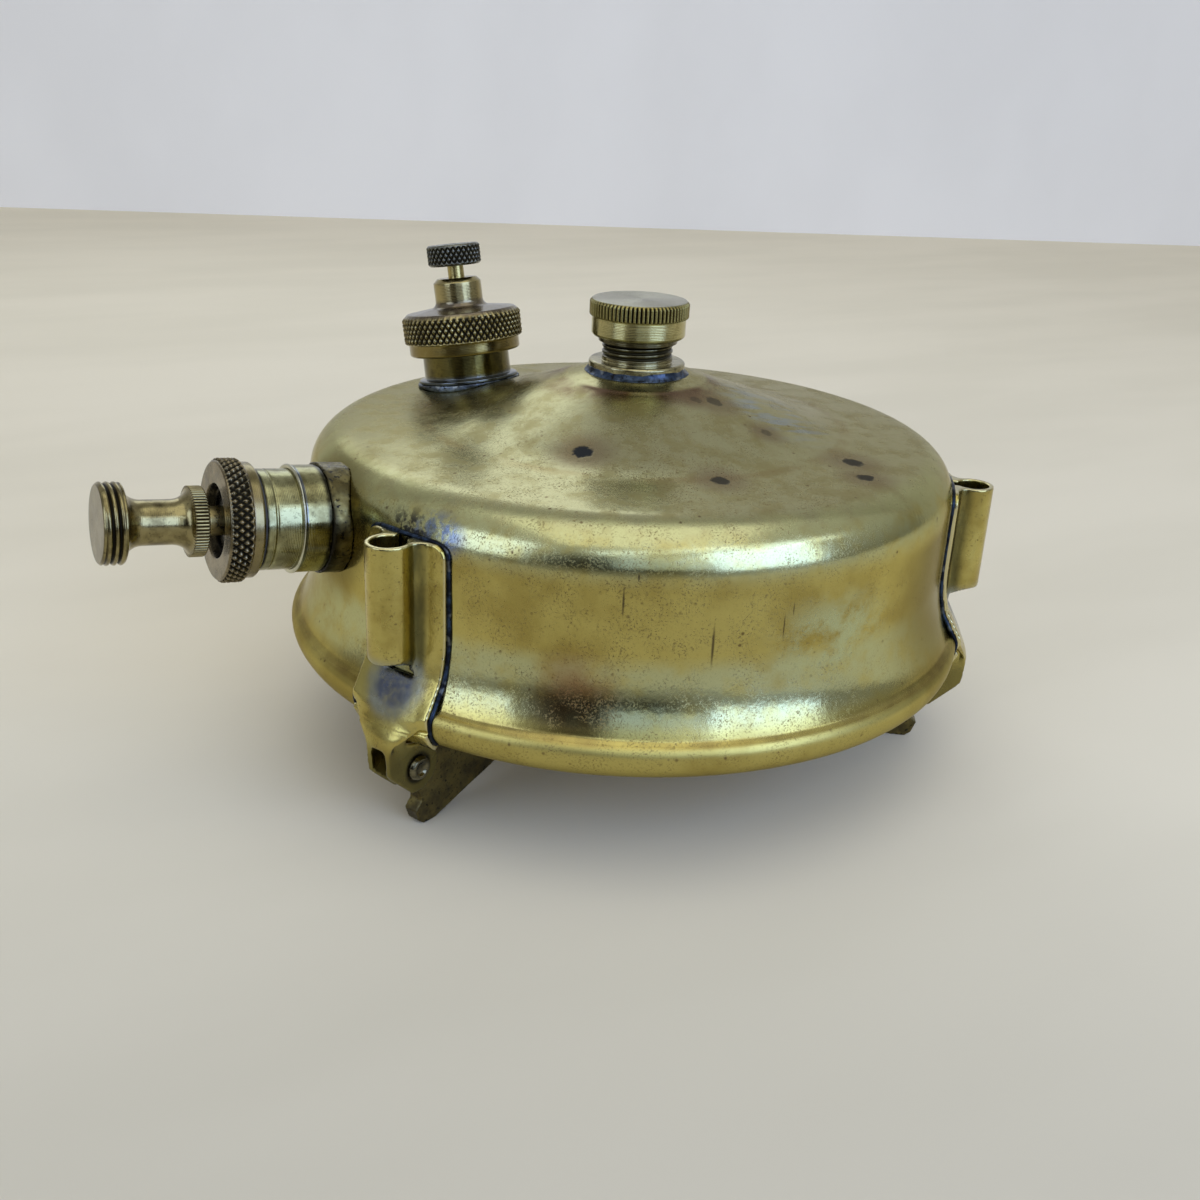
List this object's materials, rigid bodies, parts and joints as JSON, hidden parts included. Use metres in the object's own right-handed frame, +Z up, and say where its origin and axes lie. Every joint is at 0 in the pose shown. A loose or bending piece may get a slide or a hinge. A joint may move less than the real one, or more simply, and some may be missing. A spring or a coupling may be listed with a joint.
{
  "type": "kerosene pressure stove tank",
  "caption": "Brass pressure-stove tank with hand pump, filler cap with air screw, capped burner neck, rod sockets and folding feet.",
  "frame": {"origin": "centre of the burner neck's top rim, on the tank's axis", "axes": "+Z up along the tank's axis; the pump lies along -X and climbs outwards"},
  "size_m": [0.1512, 0.1231, 0.0825],
  "materials": {
    "aged_brass": "aged, polished, finely pitted",
    "plain_brass": "turned, satin",
    "dark_brass": "tarnished, brown",
    "foot_brass": "dark, dull",
    "solder": "blue-black soft solder",
    "rubber_seal": "soft, black",
    "fibre": "hard sealing washer",
    "lead": "soft grey washer",
    "leather": "oiled",
    "cork": "soft pad",
    "spring_steel": "fine wire"
  },
  "bodies": {
    "tank": {"tank_top": "aged_brass", "tank_bottom": "aged_brass", "burner_neck": "dark_brass", "fuel_riser": "plain_brass", "neck_solder": "solder", "filler_neck": "dark_brass", "filler_solder": "solder", "pump_ferrule": "dark_brass", "pump_solder": "solder", "pump_barrel": "dark_brass", "valve_body": "plain_brass", "valve_washer": "lead", "valve_spring": "spring_steel", "valve_cap": "plain_brass", "bracket_a": "aged_brass", "bracket_solder_a": "solder", "rivet_a": "plain_brass", "bracket_b": "aged_brass", "bracket_solder_b": "solder", "rivet_b": "plain_brass", "bracket_c": "aged_brass", "bracket_solder_c": "solder", "rivet_c": "plain_brass"},
    "travel_washer": {"travel_cap_washer": "fibre"},
    "travel_cap": {"travel_cap": "plain_brass"},
    "filler_gasket": {"filler_gasket": "rubber_seal"},
    "filler_cap": {"filler_cap": "dark_brass"},
    "air_stem": {"air_screw_stem": "plain_brass"},
    "air_knob": {"air_screw_knob": "dark_brass"},
    "pump_washer": {"pump_cap_washer": "fibre"},
    "pump_cap": {"pump_cap": "dark_brass"},
    "pump_cup": {"leather_cup": "leather", "cup_backing_washer": "plain_brass", "cup_spreader": "plain_brass", "cup_nut": "plain_brass"},
    "plunger": {"pump_rod": "plain_brass", "pump_knob": "dark_brass"},
    "foot_a": {"foot_a": "foot_brass"},
    "foot_b": {"foot_b": "foot_brass"},
    "foot_c": {"foot_c": "foot_brass"},
    "valve": {"valve_pip": "plain_brass", "valve_cork": "cork"}
  },
  "joints": [
    {"name": "travel_cap_lift", "type": "slide", "parent": "tank", "child": "travel_washer", "axis": [0, 0, 1], "range_m": [0, 0.004]},
    {"name": "travel_cap_turn", "type": "hinge", "parent": "travel_washer", "child": "travel_cap", "pos_m": [0, 0, 0], "axis": [0, 0, 1], "range_deg": [0, 1440]},
    {"name": "filler_cap_lift", "type": "slide", "parent": "tank", "child": "filler_gasket", "axis": [-0.0693, 0.146, 0.9869], "range_m": [0, 0.0045]},
    {"name": "filler_cap_turn", "type": "hinge", "parent": "filler_gasket", "child": "filler_cap", "pos_m": [-0.01651, 0.03477, -0.00985], "axis": [-0.0693, 0.146, 0.9869], "range_deg": [0, 1620]},
    {"name": "air_screw_lift", "type": "slide", "parent": "filler_cap", "child": "air_stem", "axis": [-0.0693, 0.146, 0.9869], "range_m": [0, 0.0014]},
    {"name": "air_screw_turn", "type": "hinge", "parent": "air_stem", "child": "air_knob", "pos_m": [-0.01734, 0.03652, 0.00199], "axis": [-0.0693, 0.146, 0.9869], "range_deg": [0, 720]},
    {"name": "pump_cap_lift", "type": "slide", "parent": "tank", "child": "pump_washer", "axis": [-0.9943, 0, 0.1063], "range_m": [0, 0.0065]},
    {"name": "pump_cap_turn", "type": "hinge", "parent": "pump_washer", "child": "pump_cap", "pos_m": [-0.0696, 0, -0.02716], "axis": [-0.9943, 0, 0.1063], "range_deg": [0, 2340]},
    {"name": "pump_stroke", "type": "slide", "parent": "pump_washer", "child": "pump_cup", "axis": [-0.9943, 0, 0.1063], "range_m": [0, 0.033]},
    {"name": "plunger_spin", "type": "hinge", "parent": "pump_cup", "child": "plunger", "pos_m": [-0.07955, 0, -0.0261], "axis": [-0.9943, 0, 0.1063], "continuous": true},
    {"name": "foot_a_fold", "type": "hinge", "parent": "tank", "child": "foot_a", "pos_m": [-0.05211, -0.02158, -0.0627], "axis": [-0.3827, 0.9239, 0], "range_deg": [0, 125]},
    {"name": "foot_b_fold", "type": "hinge", "parent": "tank", "child": "foot_b", "pos_m": [0.04475, -0.03433, -0.0627], "axis": [-0.6088, -0.7934, 0], "range_deg": [0, 125]},
    {"name": "foot_c_fold", "type": "hinge", "parent": "tank", "child": "foot_c", "pos_m": [0.00736, 0.05592, -0.0627], "axis": [0.9914, -0.1305, 0], "range_deg": [0, 125]},
    {"name": "valve_lift", "type": "slide", "parent": "tank", "child": "valve", "axis": [0.9943, 0, -0.1063], "range_m": [0, 0.0009], "stiffness_N_per_m": 60, "springref_m": -0.002, "deforming": ["valve_spring"]}
  ],
  "couplings": [
    {"joint": "travel_cap_lift", "follows": "travel_cap_turn", "m_per_rad": 0.00015915},
    {"joint": "filler_cap_lift", "follows": "filler_cap_turn", "m_per_rad": 0.00015915},
    {"joint": "air_screw_lift", "follows": "air_screw_turn", "m_per_rad": 0.00011141},
    {"joint": "pump_cap_lift", "follows": "pump_cap_turn", "m_per_rad": 0.00015915}
  ]
}
